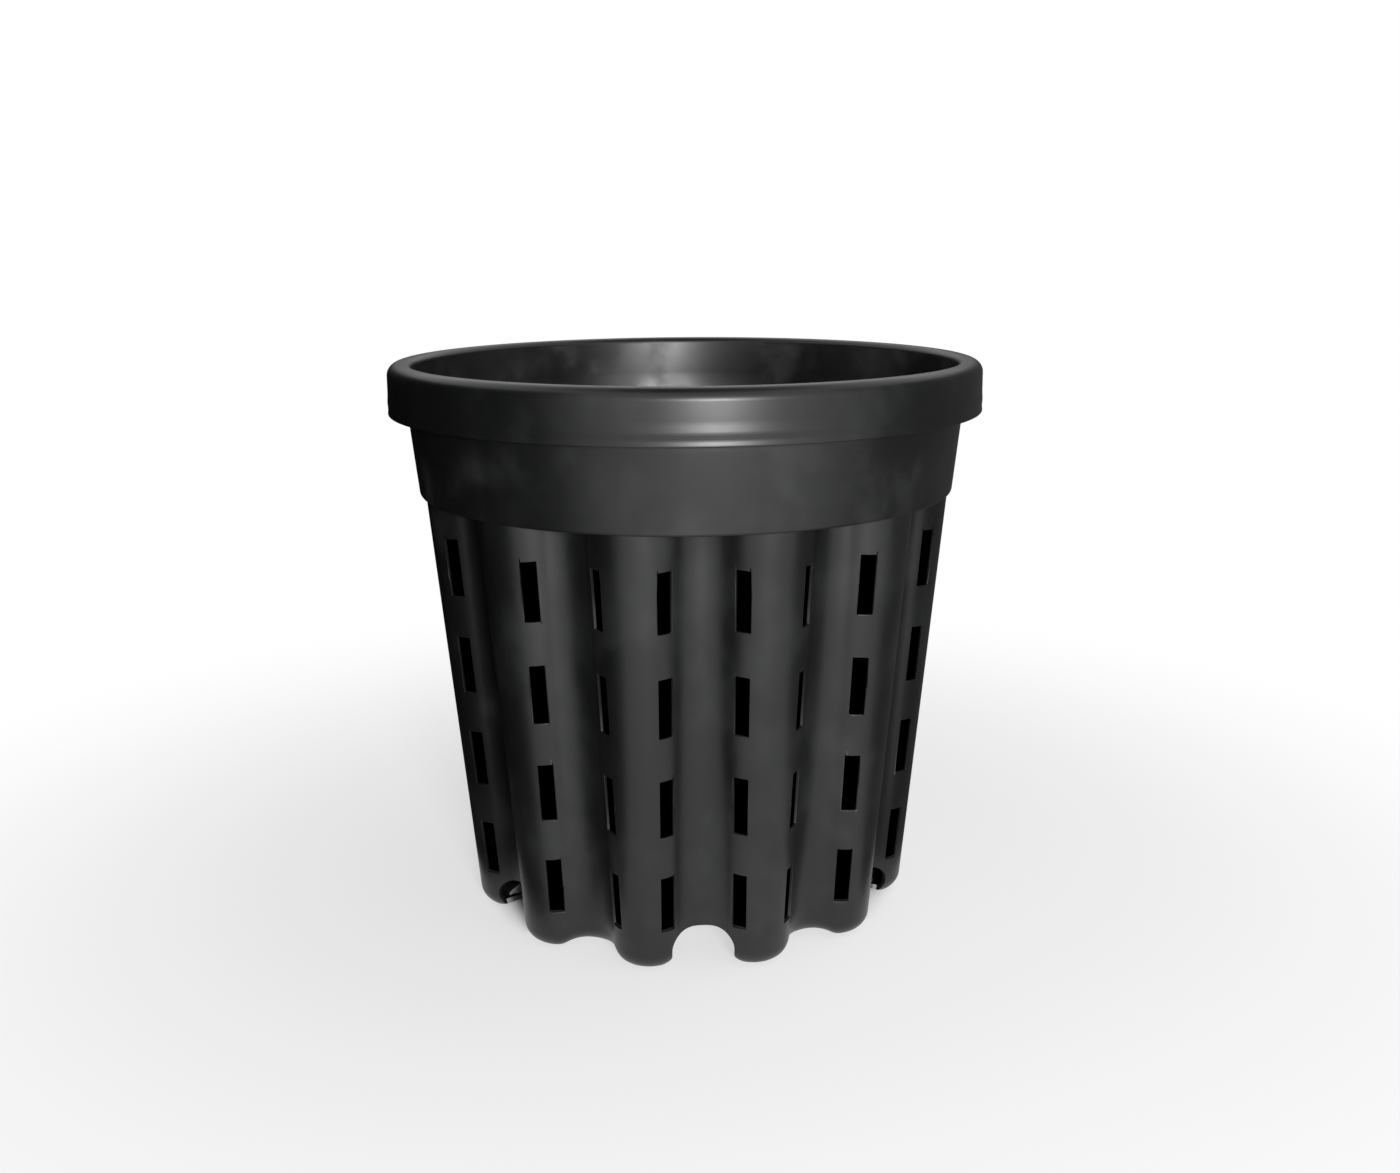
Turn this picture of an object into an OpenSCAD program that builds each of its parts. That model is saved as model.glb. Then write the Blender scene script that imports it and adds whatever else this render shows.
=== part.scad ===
// Fluted grow pot: a slotted, fluted wall on a ring of twelve toes, a raised drain floor, a shelf over
// the valleys, a smooth collar and a turned-over rim lip. Z = 0 is the ground, the axis is Z.

/* [Overall] */
// Height from the ground to the top of the rim
pot_h = 284.5; // [240:0.5:340]
// Diameter over the flute crests, at the lower edge of the collar
pot_d = 269; // [250:1:300]
// Diameter over the flute crests, where their line meets the ground
base_d = 231.5; // [220:0.5:245]
// Thickness of the moulded wall
wall_t = 2.5; // [1.8:0.1:3.2]
// Gap left between pieces that fit into each other
fit_gap = 0.2; // [0.1:0.05:0.3]

/* [Rim lip] */
// Height of the lip's outer skirt
lip_h = 24.5; // [18:0.5:30]
// Reach of the lip outside the collar
lip_reach = 9.5; // [8:0.5:14]
// Thickness of the lip
lip_t = 3; // [2.4:0.1:3.6]
// Radius of the lip's outer top edge
lip_round = 5.5; // [4:0.5:7]
// Radius of the lip's inner top edge
lip_inner_round = 1.2; // [0.8:0.1:1.6]
// Height of the bead along the lip's lower edge
bead_h = 3.2; // [2.4:0.1:5]
// How far the bead stands out from the lip's face
bead_proud = 0.3; // [0.2:0.1:0.8]
// Depth of the rib that locates the lip on the collar
rib_h = 4; // [3:0.5:6]
// Thickness of that rib
rib_t = 2; // [1.5:0.1:2.5]

/* [Collar] */
// Height of the collar that shows below the lip
collar_h = 40.5; // [32:0.5:50]
// Step of the collar outside the flute crests
collar_step = 2; // [1.5:0.1:3]
// Growth of the collar's radius over its shown height
collar_flare = 4; // [2:0.5:6]
// Depth of the socket in the collar that takes the top of the fluted wall
socket_h = 2; // [1.5:0.1:3]
// Radius of the collar's lower outer edge
collar_round = 1.5; // [0.8:0.1:1.8]

/* [Flutes] */
// Number of flutes, an even number because every second valley has a drain arch
flutes = 12; // [10:2:14]
// Depth of a flute from crest to valley, at the collar
flute_depth = 14.5; // [12:0.5:17]
// Radius of a flute's crest, at the collar
crest_r = 20; // [17:0.5:23]

/* [Toes and arches] */
// Radius of the rounded lower end of a flute
toe_r = 9; // [7:0.5:11]
// How far the valleys stop above the toes
toe_drop = 4; // [3:0.5:7]
// Width of the ledge that turns in under the wall
ledge_w = 13; // [12:0.5:14]
// Width of a drain arch
arch_w = 30; // [24:1:34]
// Height of a drain arch
arch_h = 19.5; // [17:0.5:23]
// Radius of the top corners of a drain arch
arch_round = 10; // [6:0.5:12]
// Radius of the toes' corners beside a drain arch
toe_corner = 5; // [3:0.5:6]

/* [Slots] */
// Width of an air slot
slot_w = 7.5; // [5:0.5:9]
// Height of an air slot
slot_h = 29; // [20:1:36]
// Height between the rows of slots
slot_pitch = 50.5; // [44:0.5:60]
// Height of the lowest row's centre above the ground
slot_low = 37.5; // [34:0.5:46]
// Turn of a slot's centre round the crest, away from the crest's line
slot_turn = 48; // [42:1:52]

/* [Floor] */
// Thickness of the drain floor
floor_t = 2.5; // [2:0.1:4]
// Height of the floor above the top of the arches
floor_rise = 0.5; // [0.5:0.1:2]
// Width of a drain slot in the floor
drain_w = 7.5; // [5:0.5:9]
// Length of a drain slot in the floor
drain_l = 28; // [20:1:34]
// Distance of the outer drain slots' centres from the axis
drain_outer = 74; // [68:1:80]
// Distance of the inner drain slots' centres from the axis
drain_inner = 36; // [32:1:40]

/* [Hidden] */
$fn = 96;

// Facets along a crest, along a valley, round the quarter turn of a toe and round a small corner
crest_steps = 8;
valley_steps = 6;
quarter_steps = 3;
corner_steps = 8;
// Share of a flute's depth within which the underside of a toe is flat
toe_flat = 0.2;
// Wall that stays solid between the highest slots and the collar
slot_margin = 8;
// Extra length of a cutting shape past the face that it cuts
past = 1;

half_pitch = 180 / flutes;
collar_z = pot_h - lip_h - collar_h;
lip_z = pot_h - lip_h;
wall_top = collar_z + socket_h;
taper = (pot_d - base_d) / 2 / collar_z;
taper_angle = atan(taper);
shelf_top = wall_top + wall_t;
socket_r = pot_d / 2 + taper * socket_h + fit_gap;
collar_low_r = pot_d / 2 + collar_step;
collar_high_r = collar_low_r + collar_flare;
mouth_r = collar_high_r - wall_t;
rim_r = collar_high_r + lip_reach;
floor_z = arch_h + floor_rise;
slot_rows = 1 + floor((collar_z - slot_margin - slot_low - slot_h / 2) / slot_pitch);

// Crest radius, valley radius and arcs of the flutes at height z: they all shrink towards the base
function crest_line(z) = base_d / 2 + taper * z;
function shrink(z) = crest_line(z) / (pot_d / 2);
function valley_line(z) = crest_line(z) - flute_depth * shrink(z);
function crest_arc(z) = crest_r * shrink(z);
function crest_centre(z) = crest_line(z) - crest_arc(z);

// The valley arc is the one that meets the crest arcs on both of its sides without a corner
function valley_arc(z) =
    let (a = crest_centre(z), v = valley_line(z), c = crest_arc(z))
    (a * a + v * v - 2 * a * v * cos(half_pitch) - c * c) / (2 * (c - v + a * cos(half_pitch)));
function valley_centre(z) = valley_line(z) + valley_arc(z);

// Turn of the wall where a crest passes into a valley
function flank_turn(z) =
    atan2(valley_centre(z) * sin(half_pitch), valley_centre(z) * cos(half_pitch) - crest_centre(z));

function ray(r, angle) = [r * cos(angle), r * sin(angle)];

// Points of a round corner about a centre, from one angle to another
function corner(centre, r, from, to) =
    [for (i = [0:corner_steps]) centre + ray(r, from + (to - from) * i / corner_steps)];

// One point of the wall's outline at height z, moved in by inset: t runs along one crest and one valley
function flute_point(z, flute, t, inset) =
    let (crest_at = 2 * half_pitch * flute + half_pitch - 90,
         valley_at = crest_at + half_pitch,
         flank = flank_turn(z),
         on_crest = t <= crest_steps,
         turn = on_crest ? flank * (2 * t / crest_steps - 1)
                         : (flank - half_pitch) * (1 - 2 * (t - crest_steps) / valley_steps))
    on_crest ? ray(crest_centre(z), crest_at) + ray(crest_arc(z) - inset, crest_at + turn)
             : ray(valley_centre(z), valley_at) - ray(valley_arc(z) + inset, valley_at + turn);

// The whole outline at height z, as a closed loop of points
flute_steps = crest_steps + valley_steps;
function outline(z, inset) =
    [for (flute = [0:flutes - 1]) for (t = [0:flute_steps - 1]) flute_point(z, flute, t, inset)];

// Height of the wall's lower edge: flat under each toe, and higher towards the valleys
function edge_z(t) =
    let (share = (crest_line(0) - norm(flute_point(0, 0, t, 0))) / flute_depth / shrink(0))
    toe_drop * max(0, (share - toe_flat) / (1 - toe_flat));

// Section of the foot ring at step t along a flute, as [inset, height] pairs: down outside, up inside
function foot_section(t) =
    let (low = edge_z(t), inner_r = toe_r - wall_t, bend_z = low + toe_r)
    concat(
        [[0, floor_z]],
        [for (i = [0:quarter_steps]) let (a = 90 * i / quarter_steps)
            [toe_r - toe_r * cos(a), bend_z - toe_r * sin(a)]],
        [[ledge_w, low], [ledge_w, low + wall_t]],
        [for (i = [quarter_steps:-1:0]) let (a = 90 * i / quarter_steps)
            [toe_r - inner_r * cos(a), bend_z - inner_r * sin(a)]],
        [[wall_t, floor_z]]);

// A fluted shell: one section for each step along a flute, carried round every flute
module fluted_shell(sections) {
    loop = len(sections[0]);
    rounds = flutes * flute_steps;
    points = [for (flute = [0:flutes - 1]) for (t = [0:flute_steps - 1]) for (p = sections[t])
        let (xy = flute_point(p[1], flute, t, p[0])) [xy[0], xy[1], p[1]]];
    corners = function (i, j) (i % rounds) * loop + j % loop;
    faces = [for (i = [0:rounds - 1]) for (j = [0:loop - 1])
        for (half = [[[0, 0], [1, 0], [1, 1]], [[0, 0], [1, 1], [0, 1]]])
            [for (step = half) corners(i + step[0], j + step[1])]];
    polyhedron(points, faces);
}

// One air slot: a box across the flank of a flute, which leans in with the flute, side is -1 or 1
module air_slot(flute, side, z) {
    rotate(2 * half_pitch * flute + half_pitch - 90)
        translate([crest_centre(z), 0, z])
            rotate([0, taper_angle, 0])
                rotate(side * slot_turn)
                    translate([crest_arc(z) - wall_t - toe_r / 2, -slot_w / 2, -slot_h / 2])
                        cube([wall_t + toe_r, slot_w, slot_h]);
}

// One drain arch: a tunnel with rounded top corners that widens round the toes' corners, through wall and ledge
module drain_arch() {
    reach = crest_line(wall_top);
    bend_x = arch_w / 2 - arch_round;
    bend_z = arch_h - arch_round;
    toe_x = arch_w / 2 + toe_corner;
    rotate([90, 0, 0])
        linear_extrude(reach)
            polygon(concat(
                [[-toe_x, -past], [toe_x, -past]],
                corner([toe_x, toe_corner], toe_corner, -90, -180),
                corner([bend_x, bend_z], arch_round, 0, 90),
                corner([-bend_x, bend_z], arch_round, 90, 180),
                corner([-toe_x, toe_corner], toe_corner, 0, -90)));
}

// The fluted wall stands on the foot ring, with a column of slots on both flanks of each flute
module fluted_wall() {
    section = [[0, wall_top], [0, floor_z], [wall_t, floor_z], [wall_t, wall_top]];
    color([0.07, 0.07, 0.075])
        difference() {
            fluted_shell([for (t = [0:flute_steps - 1]) section]);
            for (flute = [0:flutes - 1], side = [-1, 1], row = [0:slot_rows - 1])
                air_slot(flute, side, slot_low + row * slot_pitch);
        }
}

// The foot ring has a rounded toe under each flute, a ledge that turns in, and an arch in every second valley
module foot_ring() {
    color([0.09, 0.09, 0.095])
        difference() {
            fluted_shell([for (t = [0:flute_steps - 1]) foot_section(t)]);
            for (arch = [0:2:flutes - 1])
                rotate(2 * half_pitch * arch)
                    drain_arch();
        }
}

// The drain floor drops into the tapered wall and jams just above the arches
module drain_floor() {
    color([0.1, 0.1, 0.105])
        translate([0, 0, floor_z])
            linear_extrude(floor_t)
                difference() {
                    polygon(outline(floor_z, wall_t + fit_gap));
                    for (i = [0:flutes - 1])
                        rotate(2 * half_pitch * i)
                            translate([drain_outer - drain_l / 2, -drain_w / 2])
                                square([drain_l, drain_w]);
                    for (i = [0:2:flutes - 1])
                        rotate(2 * half_pitch * i)
                            translate([drain_inner - drain_l / 2, -drain_w / 2])
                                square([drain_l, drain_w]);
                }
}

// The valley shelf lies on the top of the wall and closes the tops of the valleys
module valley_shelf() {
    color([0.09, 0.09, 0.095])
        translate([0, 0, wall_top])
            linear_extrude(wall_t)
                difference() {
                    circle(socket_r - fit_gap);
                    polygon(outline(wall_top, wall_t));
                }
}

// The collar is a tapered ring that rests on the shelf: its socket takes the shelf and the top of the wall
// The rounding of its foot stays in the wall outside the socket
module collar() {
    top_z = pot_h - lip_t;
    foot_r = min(collar_round, collar_low_r - socket_r - fit_gap / 2);
    color([0.08, 0.08, 0.085])
        rotate_extrude()
            polygon(concat(
                [[socket_r, collar_z]],
                corner([collar_low_r - foot_r, collar_z + foot_r], foot_r, -90, 0),
                [[collar_high_r, lip_z], [collar_high_r, top_z], [mouth_r, top_z], [mouth_r, lip_z]],
                [[collar_low_r - wall_t, shelf_top], [socket_r, shelf_top]]));
}

// The rim lip turns over outwards: a top, an outer skirt with a bead, and a rib that locates it on the collar
module rim_lip() {
    face_r = rim_r - bead_proud;
    bead_z = lip_z + bead_h;
    under_z = pot_h - lip_t;
    rib_in = collar_high_r + fit_gap;
    color([0.06, 0.06, 0.065])
        rotate_extrude()
            polygon(concat(
                [[rim_r - lip_t, lip_z], [rim_r - bead_proud, lip_z]],
                [[rim_r, lip_z + bead_proud], [rim_r, bead_z - bead_proud], [face_r, bead_z]],
                corner([face_r - lip_round, pot_h - lip_round], lip_round, 0, 90),
                corner([mouth_r + lip_inner_round, pot_h - lip_inner_round], lip_inner_round, 90, 180),
                [[mouth_r, under_z], [rib_in, under_z], [rib_in, under_z - rib_h]],
                [[rib_in + rib_t, under_z - rib_h], [rib_in + rib_t, under_z], [rim_r - lip_t, under_z]]));
}

rim_lip();
collar();
valley_shelf();
fluted_wall();
foot_ring();
drain_floor();
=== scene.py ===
from math import atan2, copysign, cos, hypot, pi, radians, sin

import bmesh
import bpy
from mathutils import Matrix, Vector


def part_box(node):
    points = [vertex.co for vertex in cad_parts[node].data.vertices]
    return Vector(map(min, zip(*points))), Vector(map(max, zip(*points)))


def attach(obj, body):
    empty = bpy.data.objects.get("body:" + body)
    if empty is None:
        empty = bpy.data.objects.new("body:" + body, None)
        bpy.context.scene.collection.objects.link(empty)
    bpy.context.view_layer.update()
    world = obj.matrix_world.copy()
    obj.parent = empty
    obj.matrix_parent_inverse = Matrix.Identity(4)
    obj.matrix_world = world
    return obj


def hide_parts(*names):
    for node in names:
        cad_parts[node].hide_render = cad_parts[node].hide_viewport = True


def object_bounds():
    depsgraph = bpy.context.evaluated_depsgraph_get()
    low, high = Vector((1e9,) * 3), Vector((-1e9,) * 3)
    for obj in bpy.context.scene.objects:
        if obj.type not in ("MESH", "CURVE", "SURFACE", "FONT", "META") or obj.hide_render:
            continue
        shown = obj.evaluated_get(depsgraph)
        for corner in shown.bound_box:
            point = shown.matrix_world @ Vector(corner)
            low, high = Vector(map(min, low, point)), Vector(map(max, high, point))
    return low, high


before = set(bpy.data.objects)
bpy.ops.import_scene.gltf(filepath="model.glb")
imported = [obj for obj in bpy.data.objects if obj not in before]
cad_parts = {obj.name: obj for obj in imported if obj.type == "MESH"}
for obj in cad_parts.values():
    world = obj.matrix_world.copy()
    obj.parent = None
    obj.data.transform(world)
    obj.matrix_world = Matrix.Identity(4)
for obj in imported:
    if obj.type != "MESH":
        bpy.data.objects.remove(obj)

cad_low, cad_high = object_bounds()


# Fluted wall: the tapered skirt of the pot, moulded in satin black polypropylene with twelve round flutes.
# Two columns of air slots run down every flute, and each flute ends in a rounded toe on a turned-in ledge.
# The pot stands on the toes, a drain arch opens every second valley, and the top plugs into the collar.
up = Vector((0, 0, 1))
wall_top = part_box("fluted_wall")[1].z
collar_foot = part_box("collar")[0].z
wall_thickness = 0.0025
flutes = 12
crest_radius, crest_radius_at_ground = 0.1345, 0.11575
crest_round, crest_round_at_ground = 0.0235, 0.0178
flute_depth = 0.0163
toe_round = 0.009
toe_drop = 0.0034
toe_flat_share = 0.2
ledge_width, ledge_step = 0.013, 0.0015
slot_width, slot_height, slot_corner = 0.0075, 0.029, 0.0006
slot_rows, slot_pitch, lowest_slot = 4, 0.0505, 0.0375
slot_margin = 0.003
slot_turn = radians(44)
slot_edge_round, slot_edge_segments = 0.00035, 2
arch_width, arch_height, arch_corner = 0.030, 0.0195, 0.010
toe_corner, toe_corner_cuts = 0.007, 8

half_pitch = pi / flutes
taper = (crest_radius - crest_radius_at_ground) / collar_foot
valley_radius = crest_radius - flute_depth
first_valley = -pi / 2
first_crest = first_valley + half_pitch
crest_steps, half_valley_steps, toe_steps = 36, 12, 8
slot_sides, arch_sides = 8, 48
cut_distance, join_distance, weld_distance = 1e-7, 1e-6, 0.00005


def shrink(z):
    """Size of the flutes at height z, as a share of their size at the foot of the collar."""
    return (crest_radius_at_ground + taper * z) / crest_radius


def around(radius, angle, z=0.0):
    """The point at a distance and an angle from the pot's axis."""
    return Vector((radius * cos(angle), radius * sin(angle), z))


def flute_arcs(z):
    """Centre and radius of a crest's arc and of a valley's at height z, and the turn where they meet."""
    # The crests widen upwards more than the pot does
    crest_arc = crest_round_at_ground + (crest_round - crest_round_at_ground) * z / collar_foot
    crest_centre = crest_radius * shrink(z) - crest_arc
    valley = valley_radius * shrink(z)
    crest_ahead = crest_centre * cos(half_pitch)
    valley_arc = ((crest_centre ** 2 + valley ** 2 - crest_arc ** 2 - 2 * crest_ahead * valley)
                  / (2 * (crest_arc - valley + crest_ahead)))
    valley_centre = valley + valley_arc
    meeting = atan2(valley_centre * sin(half_pitch), valley_centre * cos(half_pitch) - crest_centre)
    return crest_centre, crest_arc, valley_centre, valley_arc, meeting


def draw_flute(mesh, z, inset):
    """Draws one flute's line at height z, moved in by inset: half a valley, a crest and half a valley."""
    crest_centre, _, valley_centre, valley_arc, meeting = flute_arcs(z)
    bend = meeting - half_pitch
    arcs = ((valley_centre, first_valley, -bend, half_valley_steps),
            (crest_centre, first_crest, 2 * meeting, crest_steps),
            (valley_centre, first_valley + 2 * half_pitch, -bend, half_valley_steps))
    tip = mesh.verts.new(around(valley_centre - valley_arc - inset, first_valley, z))
    for centre, angle, turn, steps in arcs:
        swept = bmesh.ops.spin(mesh, geom=[tip], cent=around(centre, angle, z), axis=up,
                               angle=turn, steps=steps)
        tip = next(part for part in swept["geom_last"] if isinstance(part, bmesh.types.BMVert))


def carry_round(mesh):
    """Mirrors the flute that is drawn and copies the pair round the pot, as one joined ring."""
    bmesh.ops.mirror(mesh, geom=mesh.verts[:] + mesh.edges[:] + mesh.faces[:],
                     merge_dist=join_distance, axis="X")
    pairs = flutes // 2
    bmesh.ops.spin(mesh, geom=mesh.verts[:] + mesh.edges[:] + mesh.faces[:], axis=up, use_duplicate=True,
                   angle=2 * pi * (pairs - 1) / pairs, steps=pairs - 1)
    bmesh.ops.remove_doubles(mesh, verts=mesh.verts[:], dist=weld_distance)


def with_outlines(faces):
    """Faces with their corners and edges, each of them once and in a fixed order, as a cut takes them."""
    verts = dict.fromkeys(vert for face in faces for vert in face.verts)
    edges = dict.fromkeys(edge for face in faces for edge in face.edges)
    return [*verts, *edges, *faces]


def split_level(mesh, faces, z):
    """Cuts faces along a level line at height z and takes nothing away."""
    bmesh.ops.bisect_plane(mesh, geom=with_outlines(faces), dist=cut_distance, plane_co=up * z, plane_no=up)


def cut_window(mesh, faces, centre, across, upright, size, corner, sides):
    """Cuts a window with round corners out of faces: its top and bottom, its sides and then its corners."""
    inside = faces
    for side in sorted(range(sides), key=lambda side: (side % (sides // 4) > 0, side % (sides // 2) > 0)):
        angle = 2 * pi * side / sides
        outward = across * sin(angle) + upright * cos(angle)
        half_width, half_height = size[0] / 2 - corner, size[1] / 2 - corner
        reach = abs(sin(angle)) * half_width + abs(cos(angle)) * half_height + corner
        cut = bmesh.ops.bisect_plane(mesh, geom=with_outlines(inside), dist=cut_distance,
                                     plane_co=centre + outward * reach, plane_no=outward)
        inside = [part for part in cut["geom"] if isinstance(part, bmesh.types.BMFace)
                  and (part.calc_center_median() - centre).dot(outward) < reach]
    bmesh.ops.delete(mesh, geom=inside, context="FACES")
    bmesh.ops.remove_doubles(mesh, verts=mesh.verts[:], dist=weld_distance)


def faces_ahead(mesh, ahead, least, width, top):
    """Faces further out than least in one direction, no more than width beside it and lower than top."""
    beside = up.cross(ahead)
    found = []
    for face in mesh.faces:
        middle = face.calc_center_median()
        if middle.dot(ahead) > least and abs(middle.dot(beside)) < width and middle.z < top:
            found.append(face)
    return found


def turn_about(point, radius, angle):
    """Turn of a point about the upright axis that stands at a distance and an angle from the pot's axis."""
    offset = point - around(radius, angle, point.z)
    return atan2(offset.dot(around(1, angle + pi / 2)), offset.dot(around(1, angle)))


def onto_flute(point, z):
    """The place at height z on the flute's line, as far along it as a point is at its own height."""
    crest_centre, _, valley_centre, _, meeting = flute_arcs(point.z)
    new_crest_centre, new_crest_arc, new_valley_centre, new_valley_arc, new_meeting = flute_arcs(z)
    turn = turn_about(point, crest_centre, first_crest)
    if abs(turn) <= meeting:
        angle = first_crest + turn * new_meeting / meeting
        return around(new_crest_centre, first_crest, z) + around(new_crest_arc, angle)
    valley = first_crest + copysign(half_pitch, turn)
    bend = turn_about(2 * around(valley_centre, valley, point.z) - point, valley_centre, valley)
    angle = valley + bend * (new_meeting - half_pitch) / (meeting - half_pitch)
    return around(new_valley_centre, valley, z) - around(new_valley_arc, angle)


def toe_lift(point):
    """Height of the wall's lower edge under a point of the flutes: flat under a toe, higher in a valley."""
    share = (crest_radius - hypot(point.x, point.y) / shrink(point.z)) / flute_depth
    rise = max(0.0, (share - toe_flat_share) / (1 - toe_flat_share))
    return toe_drop * rise * rise * (3 - 2 * rise)


def down_the_taper(point, z):
    """The place at height z on the wall's straight line through a point."""
    return Vector((*(point.xy * (shrink(z) / shrink(point.z))), z))


def finish_piece(name, mesh, nodes, material):
    """Makes the mesh a smooth piece that stands for its nodes, rides on the pot and takes its plastic."""
    for face in mesh.faces:
        face.smooth = True
    data = bpy.data.meshes.new(name)
    mesh.to_mesh(data)
    mesh.free()
    data.materials.append(material)
    piece = bpy.data.objects.new(name, data)
    bpy.context.scene.collection.objects.link(piece)
    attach(piece, "root")
    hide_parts(*nodes)
    return piece


def fresh_group(name, output):
    """A shader node group that gives one number, with its object coordinates and that number's socket."""
    group = bpy.data.node_groups.new(name, "ShaderNodeTree")
    group.interface.new_socket(output, in_out="OUTPUT", socket_type="NodeSocketFloat")
    coordinates = group.nodes.new("ShaderNodeTexCoord").outputs["Object"]
    return group, coordinates, group.nodes.new("NodeGroupOutput").inputs[output]


def noise(tree, coordinates, scale, detail, rough=0.5, stretch=(1, 1, 1)):
    """A noise texture in metres, stretched along the axes, and its value."""
    mapping = tree.nodes.new("ShaderNodeMapping")
    mapping.inputs["Scale"].default_value = stretch
    texture = tree.nodes.new("ShaderNodeTexNoise")
    texture.inputs["Scale"].default_value = scale
    texture.inputs["Detail"].default_value = detail
    texture.inputs["Roughness"].default_value = rough
    tree.links.new(coordinates, mapping.inputs["Vector"])
    tree.links.new(mapping.outputs["Vector"], texture.inputs["Vector"])
    return texture.outputs["Fac"]


def spread(tree, value, low, high, to_low=0.0, to_high=1.0):
    """Maps a value from one range smoothly to another."""
    node = tree.nodes.new("ShaderNodeMapRange")
    node.interpolation_type = "SMOOTHSTEP"
    for socket, number in zip(("From Min", "From Max", "To Min", "To Max"), (low, high, to_low, to_high)):
        node.inputs[socket].default_value = number
    tree.links.new(value, node.inputs["Value"])
    return node.outputs["Result"]


def combine(tree, operation, first, second):
    """One operation on two values, either of which may be a plain number."""
    node = tree.nodes.new("ShaderNodeMath")
    node.operation = operation
    for socket, value in zip(node.inputs, (first, second)):
        if isinstance(value, (int, float)):
            socket.default_value = value
        else:
            tree.links.new(value, socket)
    return node.outputs["Value"]


# Handling haze that moulded polypropylene picks up: soft cloudy patches, with finer mottling inside them
cloud_scale, cloud_range = 22, (0.42, 0.68)
mottle_scale, mottle_range, mottle_share = 90, (0.35, 0.7), 0.45
haze_group, place, haze_out = fresh_group("handling_haze", "Haze")
clouds = spread(haze_group, noise(haze_group, place, cloud_scale, detail=3, rough=0.55), *cloud_range)
mottle = spread(haze_group, noise(haze_group, place, mottle_scale, detail=4, rough=0.6), *mottle_range)
mottled = combine(haze_group, "MULTIPLY", mottle, mottle_share)
mottled = combine(haze_group, "ADD", 1 - mottle_share, mottled)
haze_group.links.new(combine(haze_group, "MULTIPLY", clouds, mottled), haze_out)

# Flow lines of the melt: faint streaks along the height of the pot
fine_scale, fine_stretch = 260, (1, 1, 0.02)
broad_scale, broad_stretch = 70, (1, 1, 0.06)
flow_group, place, flow_out = fresh_group("flow_lines", "Streak")
fine = noise(flow_group, place, fine_scale, detail=3, stretch=fine_stretch)
broad = noise(flow_group, place, broad_scale, detail=2, stretch=broad_stretch)
both = combine(flow_group, "ADD", fine, broad)
flow_group.links.new(combine(flow_group, "MULTIPLY", both, 1 / 2), flow_out)

# Grain of the satin mould: a fine, shallow texture
grain_scale = 1600
grain_group, place, grain_out = fresh_group("mould_grain", "Height")
grain_group.links.new(noise(grain_group, place, grain_scale, detail=3, rough=0.6), grain_out)

# Black plastic: its bare and its handled shade, how far it bends light, and how deep its texture is
bare_black = (0.0045, 0.0048, 0.0048)
handled_black = (0.011, 0.0115, 0.0115)
plastic_ior = 1.49
bump_distance, bump_strength = 0.0002, 0.08
middle_streak = 0.5


def black_plastic(name, shade, hazed_shade, roughness, hazed_roughness, streak_share, gloss=0.5):
    """Satin black polypropylene: haze lightens and dulls it, flow lines and grain break its gloss."""
    material = bpy.data.materials.new(name)
    material.use_nodes = True
    tree = material.node_tree
    surface = tree.nodes["Principled BSDF"]
    surface.inputs["IOR"].default_value = plastic_ior
    surface.inputs["Specular IOR Level"].default_value = gloss

    def placed(group):
        node = tree.nodes.new("ShaderNodeGroup")
        node.node_tree = group
        return node.outputs[0]

    haze = placed(haze_group)
    streak = placed(flow_group)
    colour = tree.nodes.new("ShaderNodeMix")
    colour.data_type = "RGBA"
    colour.inputs["A"].default_value = (*shade, 1)
    colour.inputs["B"].default_value = (*hazed_shade, 1)
    tree.links.new(haze, colour.inputs["Factor"])
    tree.links.new(colour.outputs["Result"], surface.inputs["Base Color"])
    dulled = spread(tree, haze, 0, 1, roughness, hazed_roughness)
    streaked = combine(tree, "MULTIPLY", combine(tree, "SUBTRACT", streak, middle_streak), streak_share)
    tree.links.new(combine(tree, "ADD", dulled, streaked), surface.inputs["Roughness"])
    bump = tree.nodes.new("ShaderNodeBump")
    bump.inputs["Distance"].default_value = bump_distance
    bump.inputs["Strength"].default_value = bump_strength
    tree.links.new(combine(tree, "ADD", placed(grain_group), streak), bump.inputs["Height"])
    tree.links.new(bump.outputs["Normal"], surface.inputs["Normal"])
    return material


wall_plastic = black_plastic("wall_plastic", bare_black, handled_black,
                             roughness=0.38, hazed_roughness=0.46, streak_share=0.10)

wall = bmesh.new()
draw_flute(wall, wall_top, 0)
lower = bmesh.ops.extrude_edge_only(wall, edges=wall.edges[:])["geom"]
for vert in (part for part in lower if isinstance(part, bmesh.types.BMVert)):
    vert.co = onto_flute(vert.co, toe_lift(onto_flute(vert.co, 0)) + toe_round)

slot_reach = slot_height / 2 + slot_margin
crest_side = around(1, first_crest + pi / 2)
for row in range(slot_rows):
    slot_z = lowest_slot + row * slot_pitch
    split_level(wall, wall.faces[:], slot_z - slot_reach)
    split_level(wall, wall.faces[:], slot_z + slot_reach)
    crest_centre, crest_arc, *_ = flute_arcs(slot_z)
    crest_axis = around(crest_centre, first_crest, slot_z)
    for side in (-1, 1):
        flank = [face for face in wall.faces
                 if (face.calc_center_median() - crest_axis).dot(crest_side) * side > 0
                 and abs(face.calc_center_median().z - slot_z) < slot_reach]
        facing = around(1, first_crest + side * slot_turn)
        middle = crest_axis + facing * crest_arc
        upright = (onto_flute(middle, slot_z + slot_height) - middle).normalized()
        cut_window(wall, flank, crest_axis, facing.cross(upright).normalized(), upright,
                   (slot_width, slot_height), slot_corner, slot_sides)
for vert in wall.verts:
    vert.co = onto_flute(vert.co, vert.co.z)

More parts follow.
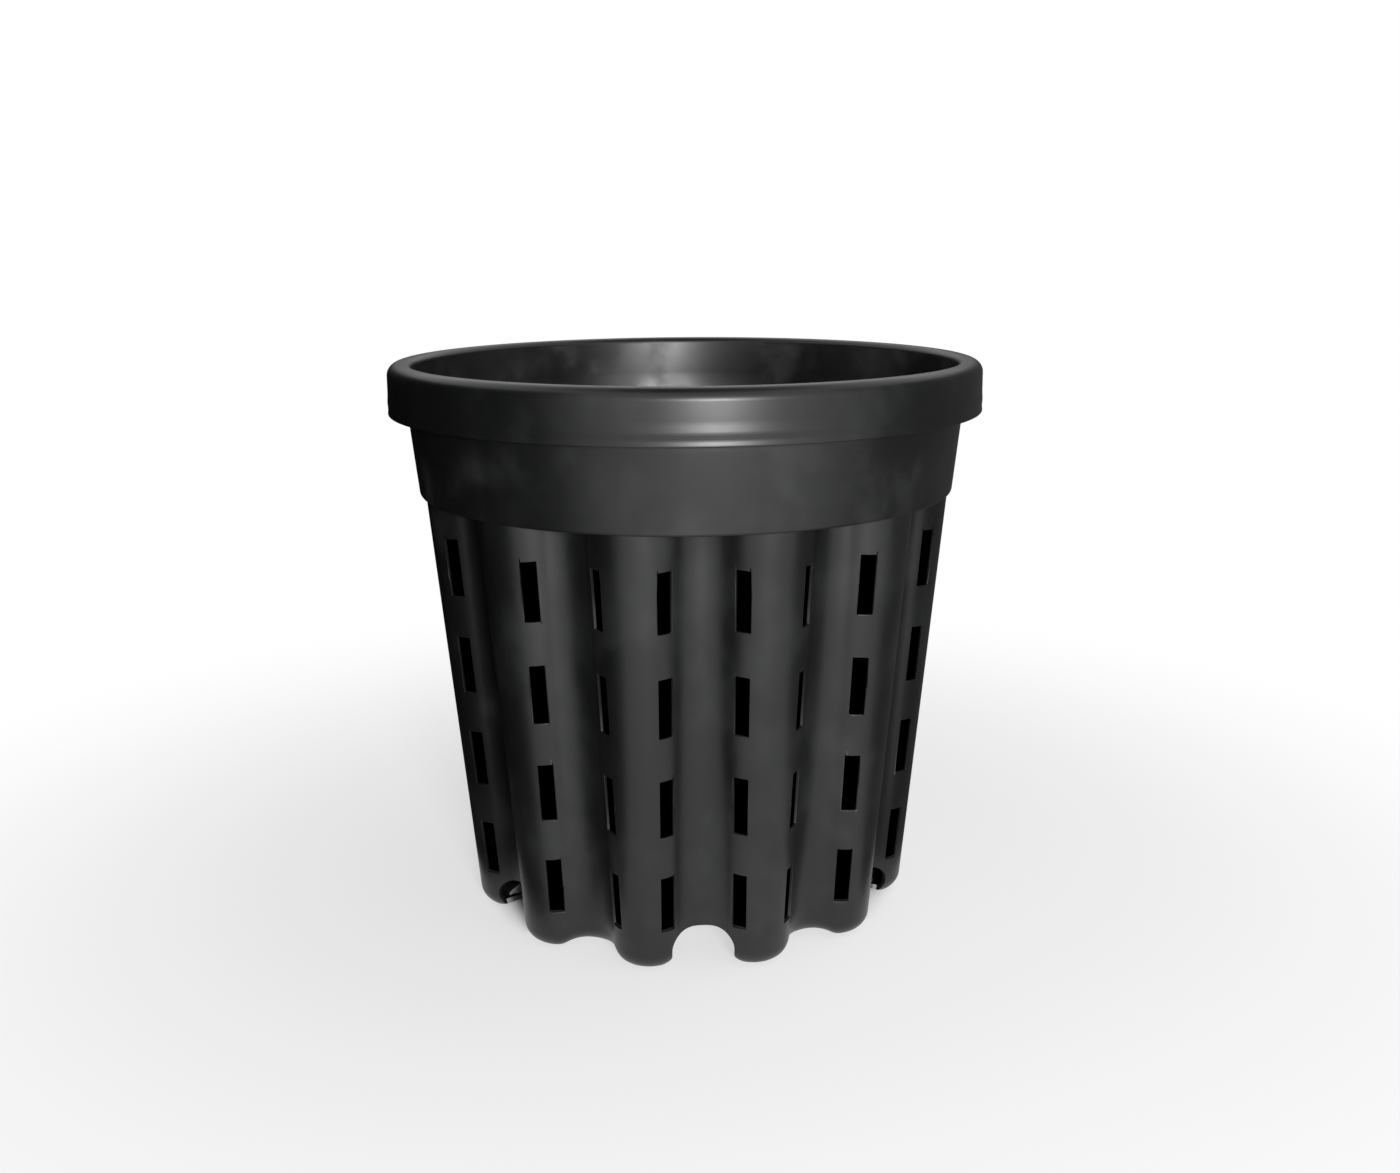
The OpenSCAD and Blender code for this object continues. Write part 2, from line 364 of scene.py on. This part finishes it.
carry_round(wall)
bmesh.ops.recalc_face_normals(wall, faces=wall.faces[:])
wall.normal_update()
foot_line = [edge for edge in wall.edges
             if edge.is_boundary and max(vert.co.z for vert in edge.verts) < 2 * toe_round]
bends = {vert: (vert.co.copy(), Vector((vert.normal.x, vert.normal.y, 0)).normalized())
         for edge in foot_line for vert in edge.verts}
toe_angles = [pi / 2 * step / toe_steps for step in range(1, toe_steps + 1)]
toe_section = [(toe_round * (1 - cos(angle)), toe_round * sin(angle)) for angle in toe_angles]
for inset, drop in toe_section + [(ledge_width, toe_round)]:
    turned = bmesh.ops.extrude_edge_only(wall, edges=foot_line)["geom"]
    turned_bends = {}
    for vert in [part for part in turned if isinstance(part, bmesh.types.BMVert)]:
        above = next(edge.other_vert(vert) for edge in vert.link_edges if edge.other_vert(vert) in bends)
        bend, outward = bends[above]
        vert.co = down_the_taper(bend, bend.z - drop) - outward * inset
        turned_bends[vert] = bends[above]
    foot_line = [part for part in turned if isinstance(part, bmesh.types.BMEdge)]
    bends = turned_bends
bmesh.ops.remove_doubles(wall, verts=list(bends), dist=ledge_step)

inner_side = valley_radius / 2
for arch in range(flutes // 2):
    ahead = around(1, first_valley + 4 * half_pitch * arch)
    beside = up.cross(ahead)
    arch_zone = (ahead, inner_side, arch_width, arch_height + toe_round)
    split_level(wall, faces_ahead(wall, *arch_zone), toe_corner)
    cut_window(wall, faces_ahead(wall, *arch_zone), Vector(), beside, up,
               (arch_width, 2 * arch_height), arch_corner, arch_sides)
    for side in (-1, 1):
        corner_axis = beside * (side * (arch_width / 2 + toe_corner)) + up * toe_corner
        for cut in range(1, toe_corner_cuts - 1):
            angle = pi / 2 * cut / toe_corner_cuts
            outward = -beside * (side * cos(angle)) - up * sin(angle)
            toe = [face for face in faces_ahead(wall, ahead, inner_side, arch_width, toe_corner)
                   if face.calc_center_median().dot(beside) * side > 0]
            bmesh.ops.bisect_plane(wall, geom=with_outlines(toe), dist=cut_distance, clear_outer=True,
                                   plane_co=corner_axis + outward * toe_corner, plane_no=outward)
bmesh.ops.remove_doubles(wall, verts=wall.verts[:], dist=weld_distance)
bmesh.ops.recalc_face_normals(wall, faces=wall.faces[:])
rounded = wall.edges.layers.float.new("bevel_weight_edge")
for edge in wall.edges:
    at_slot = all(arch_height < vert.co.z < collar_foot for vert in edge.verts)
    edge[rounded] = int(edge.is_boundary and at_slot)
    edge.smooth = at_slot or not edge.is_boundary

wall_piece = finish_piece("slotted_wall", wall, ["fluted_wall", "foot_ring"], wall_plastic)
shell = wall_piece.modifiers.new("moulded_shell", "SOLIDIFY")
shell.thickness = wall_thickness
shell.offset = -1
shell.use_even_offset = True
edges = wall_piece.modifiers.new("mould_edges", "BEVEL")
edges.width = slot_edge_round
edges.segments = slot_edge_segments
edges.limit_method = "WEIGHT"
edges.harden_normals = True
edges.use_clamp_overlap = False


# Drain floor: a flat moulded plate that drops into the tapered wall just above the arches and holds the
# growing medium up. Water leaves through a ring of twelve long slots and an inner ring of six.
floor_low, floor_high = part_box("drain_floor")
fit_gap = 0.0002
drain_width, drain_length, drain_corner = 0.0075, 0.028, 0.001
drain_outer, drain_inner = 0.074, 0.036
drain_sides = 16
plate_rings = (0.092, 0.018)
sharp_angle = radians(35)

floor_plastic = black_plastic("floor_plastic", (0.014, 0.014, 0.0145), (0.030, 0.029, 0.028),
                              roughness=0.50, hazed_roughness=0.62, streak_share=0.04)

plate = bmesh.new()
draw_flute(plate, floor_low.z, wall_thickness + fit_gap)
carry_round(plate)
rim_edges = plate.edges[:]
for ring_radius in plate_rings:
    inner = bmesh.ops.extrude_edge_only(plate, edges=rim_edges)["geom"]
    for vert in (part for part in inner if isinstance(part, bmesh.types.BMVert)):
        vert.co.xy *= ring_radius / hypot(vert.co.x, vert.co.y)
    rim_edges = [part for part in inner if isinstance(part, bmesh.types.BMEdge)]
bmesh.ops.edgeloop_fill(plate, edges=rim_edges)

for step in range(flutes):
    ahead = around(1, 2 * half_pitch * step)
    for drain_radius in (drain_outer, drain_inner)[:2 - step % 2]:
        cut_window(plate, faces_ahead(plate, ahead, 0, 2 * drain_width, floor_high.z),
                   around(drain_radius, 2 * half_pitch * step, floor_low.z), up.cross(ahead), ahead,
                   (drain_width, drain_length), drain_corner, drain_sides)
raised = bmesh.ops.extrude_face_region(plate, geom=plate.faces[:])["geom"]
bmesh.ops.translate(plate, verts=[part for part in raised if isinstance(part, bmesh.types.BMVert)],
                    vec=(0, 0, floor_high.z - floor_low.z))
bmesh.ops.recalc_face_normals(plate, faces=plate.faces[:])
floor_piece = finish_piece("drain_plate", plate, ["drain_floor"], floor_plastic)
floor_piece.data.set_sharp_from_angle(angle=sharp_angle)


# Collar: the smooth tapered band over the flutes, moulded in the same black plastic and hazed by handling.
# The wall's top plugs into the socket under it, and its shelf closes the tops of the valleys.
collar_low, collar_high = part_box("collar")
lip_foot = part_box("rim_lip")[0].z
collar_low_radius, collar_high_radius = 0.1365, 0.1405
collar_foot_round, collar_bend_round = 0.0015, 0.004
mouth_radius = collar_high_radius - wall_thickness
socket_radius = crest_radius * shrink(wall_top) + fit_gap
shelf_top = wall_top + wall_thickness
turn_steps = flutes * (crest_steps + 2 * half_valley_steps)
corner_segments = 8


def draw_profile(mesh, corners):
    """Draws a line through corners (radius, height, rounding) and rounds them."""
    verts = [mesh.verts.new((radius, 0, z)) for radius, z, rounding in corners]
    for pair in zip(verts, verts[1:]):
        mesh.edges.new(pair)
    for vert, (radius, z, rounding) in zip(verts, corners):
        if rounding:
            bmesh.ops.bevel(mesh, geom=[vert], offset=rounding, offset_type="OFFSET", profile=0.5,
                            segments=corner_segments, affect="VERTICES", material=-1, clamp_overlap=False)


collar_plastic = black_plastic("collar_plastic", bare_black, (0.015, 0.0155, 0.0155),
                               roughness=0.40, hazed_roughness=0.54, streak_share=0.05)
inner_plastic = black_plastic("inner_plastic", bare_black, (0.022, 0.0225, 0.0225),
                              roughness=0.32, hazed_roughness=0.50, streak_share=0.05, gloss=0.9)

band = bmesh.new()
flute_lines = []
for shelf_z, shelf_radius in ((wall_top, socket_radius), (shelf_top, collar_low_radius - wall_thickness)):
    known = set(band.edges)
    draw_flute(band, shelf_z, wall_thickness)
    flute_lines += [edge for edge in band.edges if edge not in known]
    arc_start = band.verts.new(around(shelf_radius, first_valley, shelf_z))
    bmesh.ops.spin(band, geom=[arc_start], axis=up, angle=2 * half_pitch, steps=turn_steps // flutes)
    bmesh.ops.bridge_loops(band, edges=[edge for edge in band.edges if edge not in known])
bmesh.ops.bridge_loops(band, edges=flute_lines)
carry_round(band)
known = set(band.edges)
draw_profile(band, [(collar_low_radius - wall_thickness, shelf_top, 0),
                    (mouth_radius, lip_foot, collar_bend_round),
                    (mouth_radius, collar_high.z, 0),
                    (collar_high_radius, collar_high.z, 0),
                    (collar_high_radius, lip_foot, collar_bend_round),
                    (collar_low_radius, collar_low.z, collar_foot_round),
                    (socket_radius, collar_low.z, 0),
                    (socket_radius, wall_top, 0)])
profile = [edge for edge in band.edges if edge not in known]
profile_verts = dict.fromkeys(vert for edge in profile for vert in edge.verts)
bmesh.ops.spin(band, geom=[*profile_verts, *profile], axis=up, angle=2 * pi, steps=turn_steps,
               use_merge=True)
bmesh.ops.remove_doubles(band, verts=band.verts[:], dist=weld_distance)
bmesh.ops.recalc_face_normals(band, faces=band.faces[:])
for face in band.faces:
    face.material_index = int(face.normal.xy.dot(face.calc_center_median().xy) < 0)
collar_piece = finish_piece("collar_band", band, ["collar", "valley_shelf"], collar_plastic)
collar_piece.data.materials.append(inner_plastic)
collar_piece.data.set_sharp_from_angle(angle=sharp_angle)
collar_piece.modifiers.new("flat_shading", "WEIGHTED_NORMAL").keep_sharp = True


# Rim lip: the turned-over rim, an upside-down channel of black plastic polished smoother than the rest.
# Its skirt ends in a bead, and a rib inside seats it on the top edge of the collar.
lip_low, lip_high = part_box("rim_lip")
lip_radius = lip_high.x
lip_thickness = 0.003
lip_round, lip_inner_round = 0.0055, 0.0035
roll_top, crease_middle, crease_top, flare_top = 0.0008, 0.0027, 0.0058, 0.0100
crease_depth = 0.00022
face_draft, flare_depth = 0.0005, 0.0003
flare_round, crease_top_round, crease_round, roll_round = 0.0010, 0.0008, 0.0006, 0.0003
foot_round, foot_inner_round, skirt_round = 0.0005, 0.0003, 0.001
rib_height, rib_thickness = 0.004, 0.002
rib_root_round, rib_round = 0.0005, 0.0004
lip_under = lip_high.z - lip_thickness
skirt_inside = lip_radius - lip_thickness
rib_inside = collar_high_radius + fit_gap
lip_steps = 360

lip_plastic = black_plastic("lip_plastic", bare_black, handled_black,
                            roughness=0.36, hazed_roughness=0.42, streak_share=0.02)

lip = bmesh.new()
draw_profile(lip, [(mouth_radius, lip_under, 0),
                   (mouth_radius, lip_high.z, lip_inner_round),
                   (lip_radius - face_draft, lip_high.z, lip_round),
                   (lip_radius - flare_depth, lip_low.z + flare_top, flare_round),
                   (lip_radius, lip_low.z + crease_top, crease_top_round),
                   (lip_radius - crease_depth, lip_low.z + crease_middle, crease_round),
                   (lip_radius, lip_low.z + roll_top, roll_round),
                   (lip_radius, lip_low.z, foot_round),
                   (skirt_inside, lip_low.z, foot_inner_round),
                   (skirt_inside, lip_under, skirt_round),
                   (rib_inside + rib_thickness, lip_under, rib_root_round),
                   (rib_inside + rib_thickness, lip_under - rib_height, rib_round),
                   (rib_inside, lip_under - rib_height, rib_round),
                   (rib_inside, lip_under, 0),
                   (mouth_radius, lip_under, 0)])
bmesh.ops.remove_doubles(lip, verts=lip.verts[:], dist=join_distance)
bmesh.ops.spin(lip, geom=lip.verts[:] + lip.edges[:], axis=up, angle=2 * pi, steps=lip_steps,
               use_merge=True)
bmesh.ops.recalc_face_normals(lip, faces=lip.faces[:])
lip_piece = finish_piece("rolled_lip", lip, ["rim_lip"], lip_plastic)
lip_piece.data.set_sharp_from_angle(angle=sharp_angle)
lip_piece.modifiers.new("flat_shading", "WEIGHTED_NORMAL").keep_sharp = True


# Studio, which is no part of the pot: a pale floor, a soft ceiling and a lamp beside the camera. Dark card
# lies round the pot, stands at its sides and back and hangs overhead, and only reflections see it; it
# paints dark reflections round the pot, and a faint glow on its right half paints a dim reflection there.
# A black sheet, set halfway into the wall's thickness and hidden from the lighting, shows in the slots as
# painted shade where the pot's dark inside would be seen.
sleeve_depth = 0.0012
card_foot, card_radius, card_lift, card_height = 0.14, 0.42, 0.001, 0.8
card_start, card_turn, card_steps = radians(-36), radians(268), 96
card_middle, card_fall = 0.55, 0.45
card_dark, card_right_glow = 0.0, 0.12
flag_radius, flag_height, flag_sides = 0.33, 0.9, 48
floor_radius, floor_sides = 3.0, 96
floor_shade, floor_roughness, floor_gloss = 0.85, 0.95, 0.1
paper_near, paper_far, near_white = 0.16, 0.6, 0.6
# Painted light: under the pot the floor glows white only toward the camera, where it lies in the pot's
# shadow
under_pot, front_painted_light = (0.095, 0.115), (0.05, 0.07)
ceiling_edge, ceiling_full, low_light = 0.25, 0.7, 0.03
window_reach, far_side_light = 0.6, 0.15
lamp_power, lamp_size = 16, 0.3
lamp_place, lamp_aim = Vector((0.155, -1.33, 0.44)), Vector((0, 0, 0.2))


def stand_in_studio(name, mesh):
    """Makes the mesh a studio object, which is no part of the pot, and gives it a plain material."""
    data = bpy.data.meshes.new(name)
    mesh.to_mesh(data)
    mesh.free()
    thing = bpy.data.objects.new(name, data)
    bpy.context.scene.collection.objects.link(thing)
    material = bpy.data.materials.new(name)
    material.use_nodes = True
    data.materials.append(material)
    return thing, material.node_tree


def blend_shaders(tree, factor, first, second, end):
    """Ends a shader tree in a mix of two shaders."""
    blend = tree.nodes.new("ShaderNodeMixShader")
    tree.links.new(factor, blend.inputs["Fac"])
    tree.links.new(first, blend.inputs[1])
    tree.links.new(second, blend.inputs[2])
    tree.links.new(blend.outputs["Shader"], tree.nodes[end].inputs["Surface"])


def seen_directly(tree):
    """One for the rays of the camera, of a reflection and of a clear body, which all see the background."""
    rays = tree.nodes.new("ShaderNodeLightPath").outputs
    return combine(tree, "MAXIMUM", rays["Is Camera Ray"],
                   combine(tree, "MAXIMUM", rays["Is Glossy Ray"], rays["Is Transmission Ray"]))


# Painted shade: the black sheet that the slots look onto, in place of the pot's shaded inside
sleeve = bmesh.new()
draw_flute(sleeve, wall_top, sleeve_depth)
draw_flute(sleeve, floor_high.z, sleeve_depth)
bmesh.ops.bridge_loops(sleeve, edges=sleeve.edges[:])
carry_round(sleeve)
bmesh.ops.recalc_face_normals(sleeve, faces=sleeve.faces[:])
sleeve_object, tree = stand_in_studio("slot_shade_sleeve", sleeve)
black = tree.nodes["Principled BSDF"]
black.inputs["Base Color"].default_value = (0, 0, 0, 1)
black.inputs["Specular IOR Level"].default_value = 0
clear = tree.nodes.new("ShaderNodeBsdfTransparent")
from_inside = tree.nodes.new("ShaderNodeNewGeometry").outputs["Backfacing"]
blend_shaders(tree, from_inside, black.outputs["BSDF"], clear.outputs["BSDF"], "Material Output")
sleeve_object.visible_diffuse = False
sleeve_object.visible_shadow = False

card = bmesh.new()
draw_profile(card, [(card_foot, card_lift, 0), (card_radius, card_lift, 0), (card_radius, card_height, 0)])
bmesh.ops.rotate(card, verts=card.verts[:], matrix=Matrix.Rotation(card_start, 3, "Z"))
bmesh.ops.spin(card, geom=card.verts[:] + card.edges[:], axis=up, angle=card_turn, steps=card_steps)
bmesh.ops.bisect_plane(card, geom=card.verts[:] + card.edges[:] + card.faces[:], clear_outer=True,
                       plane_co=up * card_middle, plane_no=(0, card_fall, 1))
bmesh.ops.create_circle(card, cap_ends=True, segments=flag_sides, radius=flag_radius,
                        matrix=Matrix.Translation(up * flag_height))
card_object, tree = stand_in_studio("dark_card", card)
# Painted reflection: the card glows faintly towards the pot's right side, and only reflections see that
# glow
card_glow = tree.nodes.new("ShaderNodeEmission")
place = tree.nodes.new("ShaderNodeSeparateXYZ")
tree.links.new(tree.nodes.new("ShaderNodeTexCoord").outputs["Object"], place.inputs["Vector"])
tree.links.new(spread(tree, place.outputs["X"], -card_radius, card_radius, card_dark, card_right_glow),
               card_glow.inputs["Strength"])
tree.links.new(card_glow.outputs["Emission"], tree.nodes["Material Output"].inputs["Surface"])
card_object.visible_camera = False
card_object.visible_diffuse = False
card_object.visible_shadow = False

paper = bmesh.new()
bmesh.ops.create_circle(paper, cap_ends=True, segments=floor_sides, radius=floor_radius)
paper_object, tree = stand_in_studio("studio_floor", paper)
sheet = tree.nodes["Principled BSDF"]
sheet.inputs["Base Color"].default_value = (floor_shade, floor_shade, floor_shade, 1)
sheet.inputs["Roughness"].default_value = floor_roughness
sheet.inputs["Specular IOR Level"].default_value = floor_gloss
glow = tree.nodes.new("ShaderNodeEmission")
length = tree.nodes.new("ShaderNodeVectorMath")
length.operation = "LENGTH"
place = tree.nodes.new("ShaderNodeSeparateXYZ")
coordinates = tree.nodes.new("ShaderNodeTexCoord").outputs["Object"]
tree.links.new(coordinates, length.inputs[0])
tree.links.new(coordinates, place.inputs["Vector"])
# Painted light: the glow is taken away under the pot except toward the camera, where it whitens shadowed
# floor
toward_camera = combine(tree, "MULTIPLY", place.outputs["Y"], -1)
glowing_floor = combine(tree, "MAXIMUM", spread(tree, length.outputs["Value"], *under_pot),
                     spread(tree, toward_camera, *front_painted_light))
fade = combine(tree, "MULTIPLY", spread(tree, length.outputs["Value"], paper_near, paper_far, near_white),
               combine(tree, "MULTIPLY", glowing_floor, seen_directly(tree)))
blend_shaders(tree, fade, sheet.outputs["BSDF"], glow.outputs["Emission"], "Material Output")

world = bpy.data.worlds.new("soft_ceiling")
bpy.context.scene.world = world
world.use_nodes = True
tree = world.node_tree
ceiling = tree.nodes["Background"]
ceiling.inputs["Color"].default_value = (1, 1, 1, 1)
direction = tree.nodes.new("ShaderNodeSeparateXYZ")
tree.links.new(tree.nodes.new("ShaderNodeTexCoord").outputs["Generated"], direction.inputs["Vector"])
height = spread(tree, direction.outputs["Z"], ceiling_edge, ceiling_full, low_light)
window = spread(tree, direction.outputs["X"], -window_reach, window_reach, far_side_light)
tree.links.new(combine(tree, "MULTIPLY", height, window), ceiling.inputs["Strength"])
white = tree.nodes.new("ShaderNodeBackground")
white.inputs["Color"].default_value = (1, 1, 1, 1)
blend_shaders(tree, seen_directly(tree), ceiling.outputs["Background"], white.outputs["Background"],
              "World Output")

lamp_data = bpy.data.lights.new("key_lamp", "AREA")
lamp_data.energy = lamp_power
lamp_data.shape = "DISK"
lamp_data.size = lamp_size
lamp = bpy.data.objects.new("key_lamp", lamp_data)
lamp.location = lamp_place
lamp.rotation_euler = (lamp_aim - lamp_place).to_track_quat("-Z", "Y").to_euler()
bpy.context.scene.collection.objects.link(lamp)


# Camera: it stands where the photograph was taken from, a little left of the arched valley at the front.
photo_width, focal_pixels, sensor_width = 1400, 1390.42, 36
camera_side, camera_ahead, camera_over_rim = -0.04272, -0.71683, 0.06039
camera_pan, camera_tilt, camera_roll = radians(-3.96), radians(90 - 14.18), radians(-0.323)
camera_data = bpy.data.cameras.new("camera")
camera_data.sensor_width = sensor_width
camera_data.lens = sensor_width * focal_pixels / photo_width
camera = bpy.data.objects.new("camera", camera_data)
camera.matrix_world = (Matrix.Translation((camera_side, camera_ahead, cad_high.z + camera_over_rim))
                       @ Matrix.Rotation(camera_pan, 4, "Z")
                       @ Matrix.Rotation(camera_tilt, 4, "X")
                       @ Matrix.Rotation(camera_roll, 4, "Z"))
bpy.context.scene.collection.objects.link(camera)
bpy.context.scene.camera = camera
bpy.context.scene.view_settings.view_transform = "Standard"
